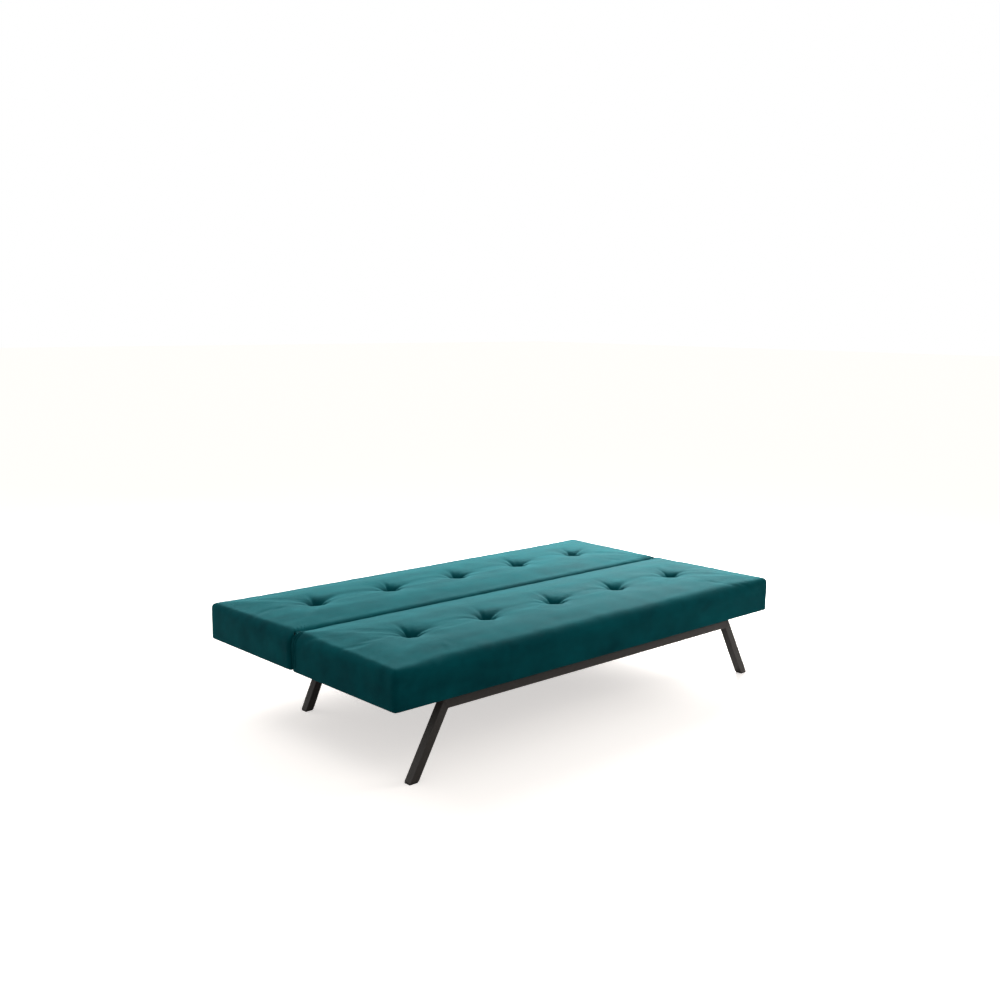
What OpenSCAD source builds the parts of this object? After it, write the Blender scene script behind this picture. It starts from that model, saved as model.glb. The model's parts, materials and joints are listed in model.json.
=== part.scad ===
/* Click-clack sofa bed, lying flat as a bed: a tufted seat and a tufted back on a steel leg frame.
   Origin: on the floor, at the middle of the whole bed. +X to the right, front edge towards -Y, +Z up.
   The left hand of a pair is the one at -X. All sizes in millimetres. */

/* [Cushions] */
// Length of both cushions, end to end
bed_l = 1800; // [1600:10:2000]
// Depth of the seat, front edge to hinge
seat_d = 530; // [500:5:560]
// Depth of the back, hinge to free edge
back_d = 498; // [470:5:530]
// Gap between seat and back when flat
hinge_gap = 5; // [4:1:8]
// Height of the upholstery's underside above the floor
underside = 241; // [225:1:260]
// Height of the upholstery, timber frame included
cushion_h = 125; // [120:1:135]
// Rounding of the upholstery's top edges
edge_r = 34; // [28:1:38]
// Rounding of the upholstery's upright corners
corner_r = 14; // [8:1:20]
// Thickness of velvet and wadding together
cover_t = 3; // [2:0.5:4]
// Distance between neighbouring tufts
tuft_pitch = 317; // [300:1:330]
// Radius of a tuft's well
tuft_r = 18; // [15:1:22]
// Depth of a tuft's well
tuft_depth = 34; // [20:1:40]

/* [Timber] */
// Thickness of the timber rails
timber_t = 24; // [20:1:28]
// Height of the timber rails
timber_h = 38; // [34:1:42]
// Thickness of a slat
slat_t = 8; // [6:1:10]
// Width of a slat
slat_w = 55; // [45:5:70]
// Number of slats on each side of the middle one
slats_each_side = 7; // [5:1:7]

/* [Legs] */
// Side of the square leg tube
tube = 28; // [25:1:30]
// Wall of every steel tube
tube_wall = 1.5; // [1.2:0.1:2]
// Height of the cross bars' underside above the floor
bar_z = 201; // [190:1:210]
// Outer toe of a front leg, from the cushion's end
front_toe_in = 75; // [60:1:120]
// Outer edge of a front leg level with the bar's underside, from the cushion's end
front_top_in = 188.5; // [150:0.5:220]
// Outer toe of a rear leg, from the cushion's end
rear_toe_in = 200.5; // [180:0.5:230]
// Outer edge of a rear leg level with the bar's underside, from the cushion's end
rear_top_in = 290; // [260:1:320]
// Front face of the front frame, in front of the hinge
front_frame_d = 503; // [480:1:510]
// Front face of the rear frame, behind the hinge
rear_frame_d = 227; // [180:1:260]
// Distance from the middle to a side rail
rail_x = 520; // [450:10:540]
// Width of a side rail
rail_w = 30; // [25:1:40]
// Height of a foot glide under its leg
glide_h = 4; // [3:1:8]

/* [Hinge] */
// Height of the hinge axis above the floor
axis_z = 348; // [345:1:350]
// Radius of the hinge rivet
rivet_r = 5; // [4:0.5:6]
// Thickness of a bracket plate
plate_t = 4; // [3:0.5:4]
// Radius of the ratchet's rim
rim_r = 26; // [24:1:28]
// Turn from flat to fully upright, in degrees
upright = 78; // [60:1:80]
// Turn that drops a pawl into a notch, in degrees
pawl_drop = 9; // [8:0.5:10]

/* [Hidden] */
$fn = 64;
bed_d = seat_d + hinge_gap + back_d;
front_y = -bed_d/2;
rear_y = bed_d/2;
hinge_y = front_y + seat_d + hinge_gap/2;
seat_y = front_y + seat_d/2;
back_y = rear_y - back_d/2;
timber_z = underside + 1;
slat_z = timber_z + timber_h;
foam_z = slat_z + slat_t;
top_z = underside + cushion_h;
frame_end = bed_l/2 - cover_t;
hem_w = 35;
slat_pitch = tuft_pitch/3;
slip = 0.05;

// Mechanism planes, outwards from the bed's middle
end_in = frame_end - timber_t;
seat_plate_x = end_in - plate_t;
back_plate_x = seat_plate_x - 0.5 - plate_t;
back_end_t = frame_end - back_plate_x - plate_t;
slot_in = back_plate_x - 9;
slot_out = end_in + 9;
slot_reach = 95;

// Pawl geometry in the hinge's own plane: u to the rear, v up, both from the axis
pawl_pivot = [36.8, -30.9];
nose_r = 3.5;
nose_dir = -75;
nose_at = (rim_r + 0.4 + nose_r)*[cos(nose_dir), sin(nose_dir)];
nose_in = turned(nose_at - pawl_pivot, -pawl_drop) + pawl_pivot;
notch_r = norm(nose_in);
notch_dir = atan2(nose_in[1], nose_in[0]);
notch_w = nose_r + 1.2;
arm_dir = atan2(pawl_pivot[1] - nose_in[1], pawl_pivot[0] - nose_in[0]);
arm_room = 2*(nose_r + 0.9);
stops = [0, upright/2, upright];

// Bolt places
bracket_bolts = [-210, -145, -80];
bracket_foot_v = timber_z + timber_h/2 - axis_z;
mount_bolt_y = [front_y + 110, hinge_y - 110];

STEEL = [0.10, 0.10, 0.10];
ZINC = [0.62, 0.63, 0.65];
PLASTIC = [0.05, 0.05, 0.05];
TIMBER = [0.80, 0.66, 0.46];
PLYWOOD = [0.86, 0.74, 0.55];
FOAM = [0.93, 0.90, 0.78];
VELVET = [0.03, 0.36, 0.38];
LINING = [0.08, 0.08, 0.09];
TWINE = [0.85, 0.83, 0.78];

function turned(p, a) = [p[0]*cos(a) - p[1]*sin(a), p[0]*sin(a) + p[1]*cos(a)];

// ---- General helpers ----

// Copies its children to one hand: side 1 is right, -1 is left
module hand(side) {
    if (side > 0) children();
    else mirror([1, 0, 0]) children();
}

module both_hands() {
    for (side = [-1, 1]) hand(side) children();
}

// A flat shape drawn in the hinge's plane (u to the rear, v up), t thick outwards from x
module hinge_plate(x, t) {
    translate([x, hinge_y, axis_z]) rotate([90, 0, 90]) linear_extrude(t) children();
}

// A round bar along X, centred on the point [u, v] of the hinge's plane
module hinge_rod(at, x, t, r) {
    translate([x, hinge_y + at[0], axis_z + at[1]]) rotate([0, 90, 0]) cylinder(h = t, r = r);
}

// A bar with round ends between two points of a plane
module link(a, b, w) {
    d = b - a;
    for (p = [a, b]) translate(p) circle(d = w);
    translate(a) rotate(atan2(d[1], d[0])) translate([0, -w/2]) square([norm(d), w]);
}

// ---- Leg frames ----

// Section of a leg in the XZ plane, inset all round, from the height z0 to a height past the mitre
function leg_lean(toe_in, top_in) = atan2(top_in - toe_in, bar_z);
function outer_x(toe_in, top_in, z) = bed_l/2 - toe_in - z*tan(leg_lean(toe_in, top_in));
function leg_span(lean, w) = w/cos(lean);

function leg_outline(toe_in, top_in, z0, inset, past = 0) =
    let (lean = leg_lean(toe_in, top_in),
         skin = leg_span(lean, inset),
         span = leg_span(lean, tube),
         high = bar_z + tube - inset + past,
         low = bar_z + inset + past)
    [[outer_x(toe_in, top_in, z0) - span + skin, z0],
     [outer_x(toe_in, top_in, z0) - skin, z0],
     [outer_x(toe_in, top_in, high) - skin, high],
     [outer_x(toe_in, top_in, low) - span + skin, low]];

// Section of half a cross bar in the XZ plane, from the middle to a distance past the mitre
function bar_outline(toe_in, top_in, inset, past = 0) =
    let (leg = leg_outline(toe_in, top_in, 0, inset))
    [[0, leg[3][1]], leg[3] + [past, 0], leg[2] + [past, 0], [0, leg[2][1]]];

// How far a tube's bore is cut past its open ends
bore_past = 4;

module tube_slice(points, y, w) {
    translate([0, y + w, 0]) rotate([90, 0, 0]) linear_extrude(w) polygon(points);
}

module leg(side, toe_in, top_in, y) {
    color(STEEL) hand(side) difference() {
        tube_slice(leg_outline(toe_in, top_in, glide_h, 0), y, tube);
        tube_slice(leg_outline(toe_in, top_in, glide_h - bore_past, tube_wall, bore_past),
                   y + tube_wall, tube - 2*tube_wall);
    }
}

module cross_bar(toe_in, top_in, y) {
    outer = bar_outline(toe_in, top_in, 0);
    inner = bar_outline(toe_in, top_in, tube_wall, bore_past);
    color(STEEL) difference() {
        union() {
            both_hands() tube_slice(outer, y, tube);
            translate([-1, y, bar_z]) cube([2, tube, tube]);
        }
        both_hands() tube_slice(inner, y + tube_wall, tube - 2*tube_wall);
        translate([-1, y + tube_wall, bar_z + tube_wall])
            cube([2, tube - 2*tube_wall, tube - 2*tube_wall]);
    }
}

// Plastic foot: a pad under the leg with a plug up inside the tube
module glide(side, toe_in, top_in, y) {
    pad = leg_outline(toe_in, top_in, 0, 1);
    lean = leg_lean(toe_in, top_in);
    plug_w = leg_span(lean, tube_wall);
    plug_h = 22;
    span = leg_span(lean, tube);
    color(PLASTIC) hand(side) union() {
        tube_slice([pad[0], pad[1], [outer_x(toe_in, top_in, glide_h) - 1.2, glide_h],
                    [outer_x(toe_in, top_in, glide_h) - span + 1.2, glide_h]], y + 1, tube - 2);
        tube_slice([[outer_x(toe_in, top_in, glide_h) - span + plug_w, glide_h],
                    [outer_x(toe_in, top_in, glide_h) - plug_w, glide_h],
                    [outer_x(toe_in, top_in, plug_h) - plug_w, plug_h],
                    [outer_x(toe_in, top_in, plug_h) - span + plug_w, plug_h]],
                   y + tube_wall, tube - 2*tube_wall);
    }
}

front_frame_y = hinge_y - front_frame_d;
rear_frame_y = hinge_y + rear_frame_d;
rail_y0 = front_frame_y + tube;
rail_top = underside - 2;

// Rectangular tube from bar to bar, welded between them
module side_rail(side) {
    len = rear_frame_y - rail_y0;
    high = rail_top - bar_z;
    color(STEEL) hand(side) difference() {
        translate([rail_x - rail_w/2, rail_y0, bar_z]) cube([rail_w, len, high]);
        translate([rail_x - rail_w/2 + tube_wall, rail_y0 - 1, bar_z + tube_wall])
            cube([rail_w - 2*tube_wall, len + 2, high - 2*tube_wall]);
        for (y = mount_bolt_y) translate([rail_x, y, bar_z - 1]) cylinder(h = 60, r = 4);
    }
}

// Rubber buffers on the rear bar, on which the back lies
module rest_buffers() {
    color(PLASTIC) for (x = [-rail_x, 0, rail_x])
        translate([x, rear_frame_y + tube/2, bar_z + tube]) cylinder(h = underside - bar_z - tube, r = 12);
}

module seat_mount_plates() {
    color(STEEL) both_hands() for (y = mount_bolt_y) difference() {
        translate([rail_x - rail_w/2, y - 30, rail_top]) cube([rail_w, 60, underside - rail_top]);
        translate([rail_x, y, rail_top - 1]) cylinder(h = 4, r = 4);
    }
}

// Bolts up through the side rails into the seat's ribs
module seat_mount_bolts() {
    color(ZINC) both_hands() for (y = mount_bolt_y) translate([rail_x, y, 0]) {
        translate([0, 0, bar_z - 5]) cylinder(h = 5, r = 7, $fn = 6);
        translate([0, 0, bar_z]) cylinder(h = timber_z + 25 - bar_z, r = 4);
    }
}

// ---- Timber ----

// A rail along X, its front face at y, with the corners eased that lie in the cover's; the pad is d
// deep round its middle pad_y
module long_rail(y, pad_y, d) {
    color(TIMBER) translate([0, 0, timber_z]) linear_extrude(timber_h) intersection() {
        translate([-frame_end, y]) square([2*frame_end, timber_t]);
        translate([0, pad_y]) plan(2*frame_end, d - 2*cover_t, corner_r - cover_t + 1);
    }
}

// Holes for a bracket's screws, along X; dir is -1 for the seat and 1 for the back
module bracket_holes(dir, x, t, r) {
    for (u = bracket_bolts) hinge_rod([-dir*u, bracket_foot_v], x, t, r);
}

// A rail along Y at the bed's end
module end_rail(side, y, d, t, dir) {
    len = d - 2*cover_t - 2*timber_t;
    color(TIMBER) hand(side) difference() {
        translate([frame_end - t, y - len/2, timber_z]) cube([t, len, timber_h]);
        bracket_holes(dir, frame_end - t - 1, 19, 3);
    }
}

// A rib along Y; the seat's outer ribs take the mounting bolts
module rib(x, y, d, drilled) {
    len = d - 2*cover_t - 2*timber_t;
    color(TIMBER) difference() {
        translate([x - timber_t/2, y - len/2, timber_z]) cube([timber_t, len, timber_h]);
        if (drilled) for (by = mount_bolt_y) translate([x, by, timber_z - 1]) cylinder(h = 26, r = 4);
    }
}

// Slats across the two long rails; every third one from the middle holds a tuft's tie
module slats(y, d) {
    color(PLYWOOD) for (i = [-slats_each_side : slats_each_side]) difference() {
        translate([i*slat_pitch - slat_w/2, y - d/2 + cover_t, slat_z]) cube([slat_w, d - 2*cover_t, slat_t]);
        if (i % 3 == 0) translate([i*slat_pitch, y, slat_z - 1]) cylinder(h = slat_t + 2, r = 2);
    }
}

// ---- Upholstery ----

// A rectangle standing on y = 0 with its two top corners rounded
module arched(w, h, r) {
    translate([-w/2, 0]) square([w, h - r]);
    translate([-w/2 + r, 0]) square([w - 2*r, h]);
    for (s = [-1, 1]) translate([s*(w/2 - r), h - r]) circle(r = r);
}

module plan(w, d, r) {
    square([w - 2*r, d], center = true);
    square([w, d - 2*r], center = true);
    for (sx = [-1, 1], sy = [-1, 1]) translate([sx*(w/2 - r), sy*(d/2 - r)]) circle(r = r);
}

// A pad with rounded top edges and upright corners, standing on z = 0
module soft_block(w, d, h, r, rc) {
    intersection() {
        translate([0, d/2, 0]) rotate([90, 0, 0]) linear_extrude(d) arched(w, h, r);
        translate([-w/2, 0, 0]) rotate([90, 0, 90]) linear_extrude(w) arched(d, h, r);
        linear_extrude(h) plan(w, d, rc);
    }
}

// What fills a cover of depth d, up to the height h
module inner_block(d, h) {
    soft_block(bed_l - 2*cover_t, d - 2*cover_t, h, edge_r - cover_t, corner_r - cover_t);
}

// Room for the hinge plates in the foam and covers, from the frame up past the axis
module hinge_slots() {
    both_hands() translate([slot_in, hinge_y - slot_reach, slat_z])
        cube([slot_out - slot_in, 2*slot_reach, axis_z + 13 - slat_z]);
}

module tufts_at(y) {
    for (i = [-2 : 2]) translate([i*tuft_pitch, y, 0]) children();
}

module foam(y, d) {
    color(FOAM) difference() {
        translate([0, y, foam_z]) inner_block(d, top_z - cover_t - foam_z);
        hinge_slots();
        tufts_at(y) {
            translate([0, 0, top_z - tuft_depth]) cylinder(h = tuft_depth, r = tuft_r);
            translate([0, 0, foam_z - 1]) cylinder(h = top_z - foam_z, r = 2);
        }
    }
}

// Velvet over top and sides, with a hem turned under the timber all round
module cover(y, d) {
    color(VELVET) difference() {
        translate([0, y, underside]) soft_block(bed_l, d, cushion_h, edge_r, corner_r);
        translate([0, y, timber_z]) inner_block(d, top_z - cover_t - timber_z);
        translate([hem_w - bed_l/2, y - d/2 + hem_w, underside - 1]) cube([bed_l - 2*hem_w, d - 2*hem_w, 3]);
        hinge_slots();
        tufts_at(y) translate([0, 0, top_z - cover_t - 1]) cylinder(h = cover_t + 2, r = tuft_r);
    }
}

// Black lining that closes the underside inside the hem
module dust_cover(y, d, drilled) {
    color(LINING) difference() {
        translate([hem_w - bed_l/2, y - d/2 + hem_w, underside]) cube([bed_l - 2*hem_w, d - 2*hem_w, 1]);
        if (drilled) both_hands() for (by = mount_bolt_y)
            translate([rail_x, by, underside - 1]) cylinder(h = 3, r = 4);
    }
}

button_h = 7;
button_z = top_z - tuft_depth;

// Velvet-covered buttons at the bottom of the tufts
module buttons(y) {
    color(VELVET) tufts_at(y) translate([0, 0, button_z]) intersection() {
        cylinder(h = button_h, r = 13);
        translate([0, 0, button_h - 20]) sphere(r = 20);
    }
}

// Tufting twine through the slats; the middle one is stapled to the rib, the others end in toggles
module tuft_ties(y) {
    color(TWINE) for (i = [-2 : 2]) translate([i*tuft_pitch, y, 0]) {
        translate([0, 0, slat_z]) cylinder(h = button_z - slat_z, r = 1.5);
        if (i != 0) translate([0, 0, slat_z - 4]) cylinder(h = 4, r = 9);
    }
}

// ---- Hinge mechanism ----

// One arm and foot of a bracket; dir is -1 towards the seat and 1 towards the back
module bracket_arm(dir, w) {
    link([dir*75, bracket_foot_v], [0, 0], w);
    translate([dir > 0 ? 50 : -230, bracket_foot_v - 15]) square([180, 30]);
}

// Ratchet rim with one notch for each resting position of the back: room for the dropped pawl, and a
// flank that its nose clears on the way in
module ratchet() {
    difference() {
        intersection() {
            circle(r = rim_r);
            polygon([[0, 0], 60*[cos(-88), sin(-88)], [60, -30], 60*[cos(13), sin(13)]]);
        }
        for (a = stops) rotate(a) {
            translate(nose_in) circle(r = notch_w);
            translate(nose_in) rotate(arm_dir) translate([0, -arm_room/2]) square([14, arm_room]);
            rotate(notch_dir) polygon([[notch_r, -notch_w], [notch_r + 8, -notch_w - 4],
                                       [notch_r + 8, 0], [notch_r, 0]]);
        }
    }
}

// The bracket on the seat, which carries the ratchet and holds the rivet
module seat_bracket(side) {
    color(STEEL) hand(side) hinge_plate(seat_plate_x, plate_t) difference() {
        union() {
            bracket_arm(-1, 26);
            circle(r = 12);
            ratchet();
        }
        circle(r = rivet_r);
        for (u = bracket_bolts) translate([u, bracket_foot_v]) circle(r = 3.2);
    }
}

// The bracket on the back, which turns on the rivet and carries the pawl
module back_bracket(side) {
    color(STEEL) hand(side) hinge_plate(back_plate_x, plate_t) difference() {
        union() {
            bracket_arm(1, 28);
            translate(pawl_pivot) circle(r = 8);
        }
        circle(r = rivet_r + slip);
        translate(pawl_pivot) circle(r = 2.5);
        for (u = bracket_bolts) translate([-u, bracket_foot_v]) circle(r = 3.2);
    }
}

// Rivet through both brackets, headed at both ends
module pivot_rivet(side) {
    color(ZINC) hand(side) {
        hinge_rod([0, 0], back_plate_x - 0.2 - 3, seat_plate_x + plate_t + 3 - back_plate_x + 3.2, rivet_r);
        hinge_rod([0, 0], back_plate_x - 3.2, 3, 8.5);
        hinge_rod([0, 0], seat_plate_x + plate_t, 3, 8);
    }
}

// Ratchet pawl, parked clear of the rim
module pawl(side) {
    color(ZINC) hand(side) hinge_plate(seat_plate_x, plate_t) difference() {
        union() {
            link(pawl_pivot, nose_at, 2*nose_r);
            translate(pawl_pivot) circle(r = 6.5);
        }
        translate(pawl_pivot) circle(r = 2.5 + slip);
    }
}

spring_x = seat_plate_x + plate_t + 0.5;
spring_turns = 4;
spring_pitch = 1.1;
spring_end = spring_x + spring_turns*spring_pitch + 1.2;

// Pin fixed in the back bracket, on which the pawl swings
module pawl_pin(side) {
    color(ZINC) hand(side) {
        hinge_rod(pawl_pivot, back_plate_x - 1.5, spring_end + 1.5 - back_plate_x + 1.5, 2.5);
        hinge_rod(pawl_pivot, back_plate_x - 1.5, 1.5, 4.5);
        hinge_rod(pawl_pivot, spring_end, 1.5, 4.5);
    }
}

// Torsion spring round the pin's outer end, swept along its helix with 6 sides
module pawl_spring(side) {
    steps = 12*spring_turns;
    wire_r = 0.45;
    coil_r = 3.3;
    rings = [for (i = [0 : steps]) let (a = 360*i/12) [for (k = [0 : 5]) let (b = 60*k)
        [spring_x + 0.6 + i*spring_pitch/12 + wire_r*sin(b),
         hinge_y + pawl_pivot[0] + (coil_r + wire_r*cos(b))*cos(a),
         axis_z + pawl_pivot[1] + (coil_r + wire_r*cos(b))*sin(a)]]];
    points = [for (ring = rings) each ring];
    sides = [for (i = [0 : steps - 1], k = [0 : 5])
        let (n = (k + 1) % 6) [6*i + k, 6*i + n, 6*i + 6 + n, 6*i + 6 + k]];
    color(ZINC) hand(side) polyhedron(points, concat(sides,
        [[5, 4, 3, 2, 1, 0]], [[for (k = [0 : 5]) 6*steps + k]]));
}

// Screws through a bracket's foot into the end rail
module bracket_screws(dir, x) {
    color(ZINC) both_hands() for (u = bracket_bolts) {
        hinge_rod([-dir*u, bracket_foot_v], x - 3, 3, 6);
        hinge_rod([-dir*u, bracket_foot_v], x, plate_t + 18, 3);
    }
}

// ---- Assembly ----

cross_bar(front_toe_in, front_top_in, front_frame_y);  // front_bar
leg(-1, front_toe_in, front_top_in, front_frame_y);  // front_leg_left
leg(1, front_toe_in, front_top_in, front_frame_y);  // front_leg_right
cross_bar(rear_toe_in, rear_top_in, rear_frame_y);  // rear_bar
leg(-1, rear_toe_in, rear_top_in, rear_frame_y);  // rear_leg_left
leg(1, rear_toe_in, rear_top_in, rear_frame_y);  // rear_leg_right
side_rail(-1);  // side_rail_left
side_rail(1);  // side_rail_right
glide(-1, front_toe_in, front_top_in, front_frame_y);  // glide_front_left
glide(1, front_toe_in, front_top_in, front_frame_y);  // glide_front_right
glide(-1, rear_toe_in, rear_top_in, rear_frame_y);  // glide_rear_left
glide(1, rear_toe_in, rear_top_in, rear_frame_y);  // glide_rear_right
rest_buffers();
seat_mount_plates();
seat_mount_bolts();

long_rail(front_y + cover_t, seat_y, seat_d);  // seat_front_rail
long_rail(front_y + seat_d - cover_t - timber_t, seat_y, seat_d);  // seat_rear_rail
end_rail(-1, seat_y, seat_d, timber_t, -1);  // seat_end_rail_left
end_rail(1, seat_y, seat_d, timber_t, -1);  // seat_end_rail_right
rib(-rail_x, seat_y, seat_d, true);  // seat_rib_left
rib(0, seat_y, seat_d, false);  // seat_rib_middle
rib(rail_x, seat_y, seat_d, true);  // seat_rib_right
slats(seat_y, seat_d);  // seat_slats
foam(seat_y, seat_d);  // seat_foam
cover(seat_y, seat_d);  // seat_cover
dust_cover(seat_y, seat_d, true);  // seat_dust_cover
buttons(seat_y);  // seat_buttons
tuft_ties(seat_y);  // seat_tuft_ties

long_rail(rear_y - back_d + cover_t, back_y, back_d);  // back_front_rail
long_rail(rear_y - cover_t - timber_t, back_y, back_d);  // back_rear_rail
end_rail(-1, back_y, back_d, back_end_t, 1);  // back_end_rail_left
end_rail(1, back_y, back_d, back_end_t, 1);  // back_end_rail_right
rib(-rail_x, back_y, back_d, false);  // back_rib_left
rib(0, back_y, back_d, false);  // back_rib_middle
rib(rail_x, back_y, back_d, false);  // back_rib_right
slats(back_y, back_d);  // back_slats
foam(back_y, back_d);  // back_foam
cover(back_y, back_d);  // back_cover
dust_cover(back_y, back_d, false);  // back_dust_cover
buttons(back_y);  // back_buttons
tuft_ties(back_y);  // back_tuft_ties

seat_bracket(-1);  // seat_bracket_left
seat_bracket(1);  // seat_bracket_right
back_bracket(-1);  // back_bracket_left
back_bracket(1);  // back_bracket_right
pivot_rivet(-1);  // pivot_rivet_left
pivot_rivet(1);  // pivot_rivet_right
pawl(-1);  // pawl_left
pawl(1);  // pawl_right
pawl_pin(-1);  // pawl_pin_left
pawl_pin(1);  // pawl_pin_right
pawl_spring(-1);  // pawl_spring_left
pawl_spring(1);  // pawl_spring_right
bracket_screws(-1, seat_plate_x);  // seat_bracket_bolts
bracket_screws(1, back_plate_x);  // back_bracket_bolts
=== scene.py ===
import json
import math
import random

import bmesh
import bpy
from mathutils import Matrix, Vector, noise
from mathutils.bvhtree import BVHTree


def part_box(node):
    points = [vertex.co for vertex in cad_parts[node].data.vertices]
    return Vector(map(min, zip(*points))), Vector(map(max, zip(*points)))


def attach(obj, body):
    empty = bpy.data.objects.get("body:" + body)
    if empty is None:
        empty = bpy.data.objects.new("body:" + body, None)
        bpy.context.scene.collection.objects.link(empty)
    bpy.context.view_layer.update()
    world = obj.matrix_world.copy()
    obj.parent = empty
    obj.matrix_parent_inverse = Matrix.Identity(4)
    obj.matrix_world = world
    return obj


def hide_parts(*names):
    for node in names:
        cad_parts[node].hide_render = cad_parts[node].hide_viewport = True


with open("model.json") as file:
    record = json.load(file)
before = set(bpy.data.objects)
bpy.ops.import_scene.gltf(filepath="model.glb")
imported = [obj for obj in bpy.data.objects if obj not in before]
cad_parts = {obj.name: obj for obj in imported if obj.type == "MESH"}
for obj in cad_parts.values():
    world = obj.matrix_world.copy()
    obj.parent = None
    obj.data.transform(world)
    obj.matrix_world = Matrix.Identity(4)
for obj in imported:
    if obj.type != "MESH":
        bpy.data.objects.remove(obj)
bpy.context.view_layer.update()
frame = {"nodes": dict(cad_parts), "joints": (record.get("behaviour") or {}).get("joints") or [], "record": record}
scene = bpy.context.scene
node = frame["nodes"]


# ---- Camera ----
# Stands in front of the bed's left end, a little above it, and looks down by nine degrees. It is
# rolled by half a degree, and its lens is a plain 42 mm one.
camera_place = Vector((-2.8124, -2.9996, 1.3516))
camera_turn = math.radians(42.887)
camera_dip = math.radians(9.077)
camera_roll = math.radians(0.5525)
ahead = Vector((math.sin(camera_turn) * math.cos(camera_dip),
                math.cos(camera_turn) * math.cos(camera_dip),
                -math.sin(camera_dip)))
level = ahead.cross(Vector((0, 0, 1))).normalized()
upright = level.cross(ahead)
right_way = level * math.cos(camera_roll) + upright * math.sin(camera_roll)
up_way = upright * math.cos(camera_roll) - level * math.sin(camera_roll)

camera = bpy.data.objects.new("camera", bpy.data.cameras.new("camera"))
camera.data.sensor_width = 36.0
camera.data.lens = 41.83
camera.data.clip_start = 0.05
camera.matrix_world = Matrix((right_way, up_way, -ahead)).transposed().to_4x4()
camera.matrix_world.translation = camera_place
scene.collection.objects.link(camera)
scene.camera = camera
scene.view_settings.view_transform = "Standard"


# ---- Floor and light ----
# A plain white studio: a pale floor and a bright even surround, as in a room of white paper. The key
# is a soft box beyond the bed's right end; weaker ones stand behind the bed and to its right in front.
def new_material(name):
    """A material with its Principled shader and tree."""
    made = bpy.data.materials.new(name)
    made.use_nodes = True
    tree = made.node_tree
    return made, tree, tree.nodes["Principled BSDF"]


def mesh_piece(name, bm, material=None):
    """Turns a finished bmesh into an object at the origin."""
    data = bpy.data.meshes.new(name)
    bm.to_mesh(data)
    bm.free()
    made = bpy.data.objects.new(name, data)
    scene.collection.objects.link(made)
    if material:
        data.materials.append(material)
    return made


floor_reach = 40
floor_paint, tree, shader = new_material("floor_paint")
shader.inputs["Base Color"].default_value = (0.34, 0.33, 0.325, 1)
shader.inputs["Roughness"].default_value = 0.95
shader.inputs["Specular IOR Level"].default_value = 0.1
lit_paper = tree.nodes.new("ShaderNodeBsdfDiffuse")
lit_paper.inputs["Color"].default_value = (0.88, 0.85, 0.82, 1)
glow = tree.nodes.new("ShaderNodeEmission")
glow.inputs["Color"].default_value = (1.0, 0.972, 0.955, 1)
glow.inputs["Strength"].default_value = 0.58
bright = tree.nodes.new("ShaderNodeAddShader")
viewed = tree.nodes.new("ShaderNodeLightPath")
chosen = tree.nodes.new("ShaderNodeMixShader")
tree.links.new(lit_paper.outputs["BSDF"], bright.inputs[0])
tree.links.new(glow.outputs["Emission"], bright.inputs[1])
tree.links.new(viewed.outputs["Is Camera Ray"], chosen.inputs["Fac"])
tree.links.new(shader.outputs["BSDF"], chosen.inputs[1])
tree.links.new(bright.outputs["Shader"], chosen.inputs[2])
tree.links.new(chosen.outputs["Shader"], tree.nodes["Material Output"].inputs["Surface"])
bm = bmesh.new()
bmesh.ops.create_grid(bm, x_segments=2, y_segments=2, size=floor_reach)
floor = mesh_piece("floor", bm, floor_paint)

horizon_power = 0.54
zenith_power = 0.50
zenith_height = 0.9
world = bpy.data.worlds.new("surround")
world.use_nodes = True
scene.world = world
sky = world.node_tree.nodes["Background"]
sky.inputs["Color"].default_value = (1.0, 0.99, 0.975, 1)
paper = world.node_tree.nodes.new("ShaderNodeBackground")
paper.inputs["Color"].default_value = (1, 1, 1, 1)
paper.inputs["Strength"].default_value = 1.0
ray = world.node_tree.nodes.new("ShaderNodeTexCoord")
parts = world.node_tree.nodes.new("ShaderNodeSeparateXYZ")
height = world.node_tree.nodes.new("ShaderNodeMapRange")
height.inputs["From Min"].default_value = 0.0
height.inputs["From Max"].default_value = zenith_height
height.inputs["To Min"].default_value = horizon_power
height.inputs["To Max"].default_value = zenith_power
seen = world.node_tree.nodes.new("ShaderNodeLightPath")
either = world.node_tree.nodes.new("ShaderNodeMixShader")
join = world.node_tree.links.new
join(ray.outputs["Generated"], parts.inputs["Vector"])
join(parts.outputs["Z"], height.inputs["Value"])
join(height.outputs["Result"], sky.inputs["Strength"])
join(seen.outputs["Is Camera Ray"], either.inputs["Fac"])
join(sky.outputs["Background"], either.inputs[1])
join(paper.outputs["Background"], either.inputs[2])
join(either.outputs["Shader"], world.node_tree.nodes["World Output"].inputs["Surface"])


def soft_box(name, place, aim, size, watts, tint):
    """A square area light at a place, turned towards an aim."""
    lamp = bpy.data.lights.new(name, "AREA")
    lamp.shape = "SQUARE"
    lamp.size = size
    lamp.energy = watts
    lamp.color = tint
    held = bpy.data.objects.new(name, lamp)
    held.matrix_world = (Vector(aim) - Vector(place)).to_track_quat("-Z", "Y").to_matrix().to_4x4()
    held.matrix_world.translation = Vector(place)
    scene.collection.objects.link(held)


daylight = (1.0, 0.985, 0.97)
warm_light = (1.0, 0.97, 0.93)
soft_box("key_box", (2.35, 1.0, 1.45), (0.4, 0, 0.3), 1.3, 150, daylight)
soft_box("rear_box", (-1.2, 2.6, 2.1), (-0.4, 0.3, 0.3), 1.4, 30, daylight)
soft_box("fill_box", (3.4, -2.0, 1.6), (0, 0, 0.2), 1.4, 34, warm_light)


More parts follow.
